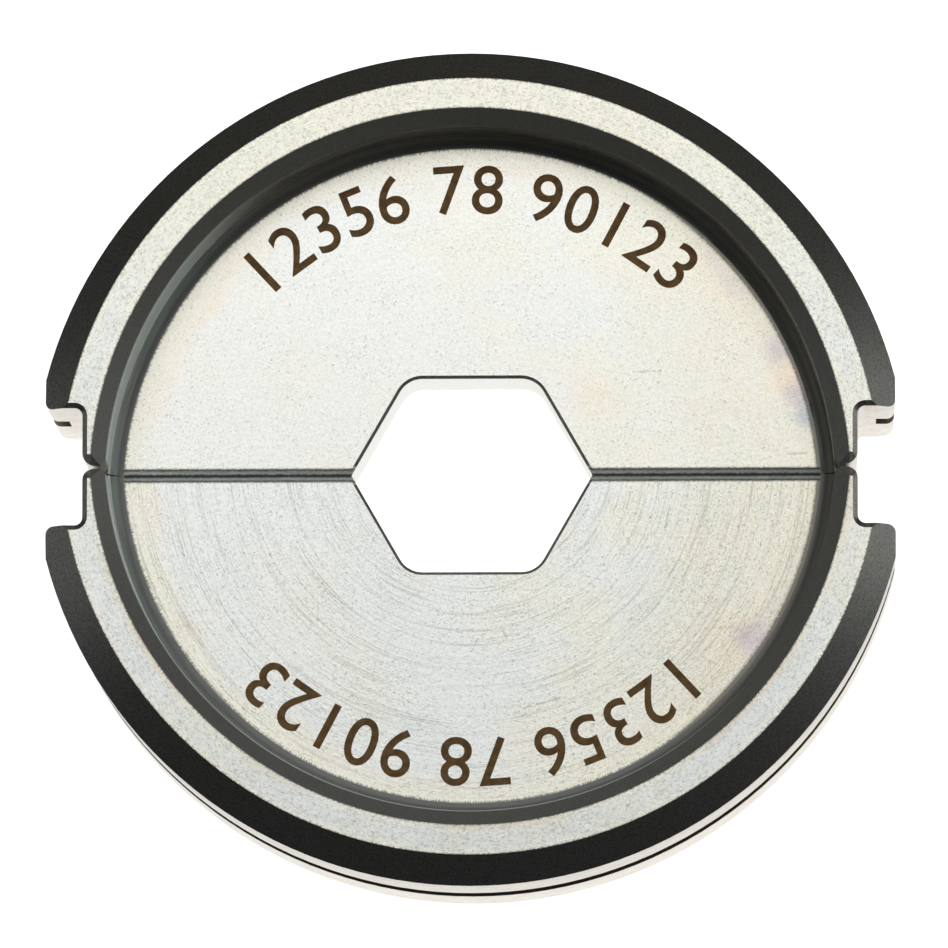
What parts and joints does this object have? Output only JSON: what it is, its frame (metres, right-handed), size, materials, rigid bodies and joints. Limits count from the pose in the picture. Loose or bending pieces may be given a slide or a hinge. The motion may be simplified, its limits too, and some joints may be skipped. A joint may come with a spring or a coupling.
{
  "type": "crimping die",
  "caption": "Matched upper and lower half-round crimping die that close on a hexagonal profile, with a thick notched rim, a thinner web and a groove round the outside.",
  "frame": {"origin": "centre of the closed pair, on the surface that its rims lie on", "axes": "+Z through the thickness, away from that surface; +X along the parting line; +Y from the lower half to the upper half"},
  "size_m": [0.0426, 0.042, 0.014],
  "materials": {
    "plated_steel": "zinc plated, satin, lightly tarnished"
  },
  "bodies": {
    "root": {"upper_die_half": "plated_steel", "lower_die_half": "plated_steel"}
  },
  "joints": []
}
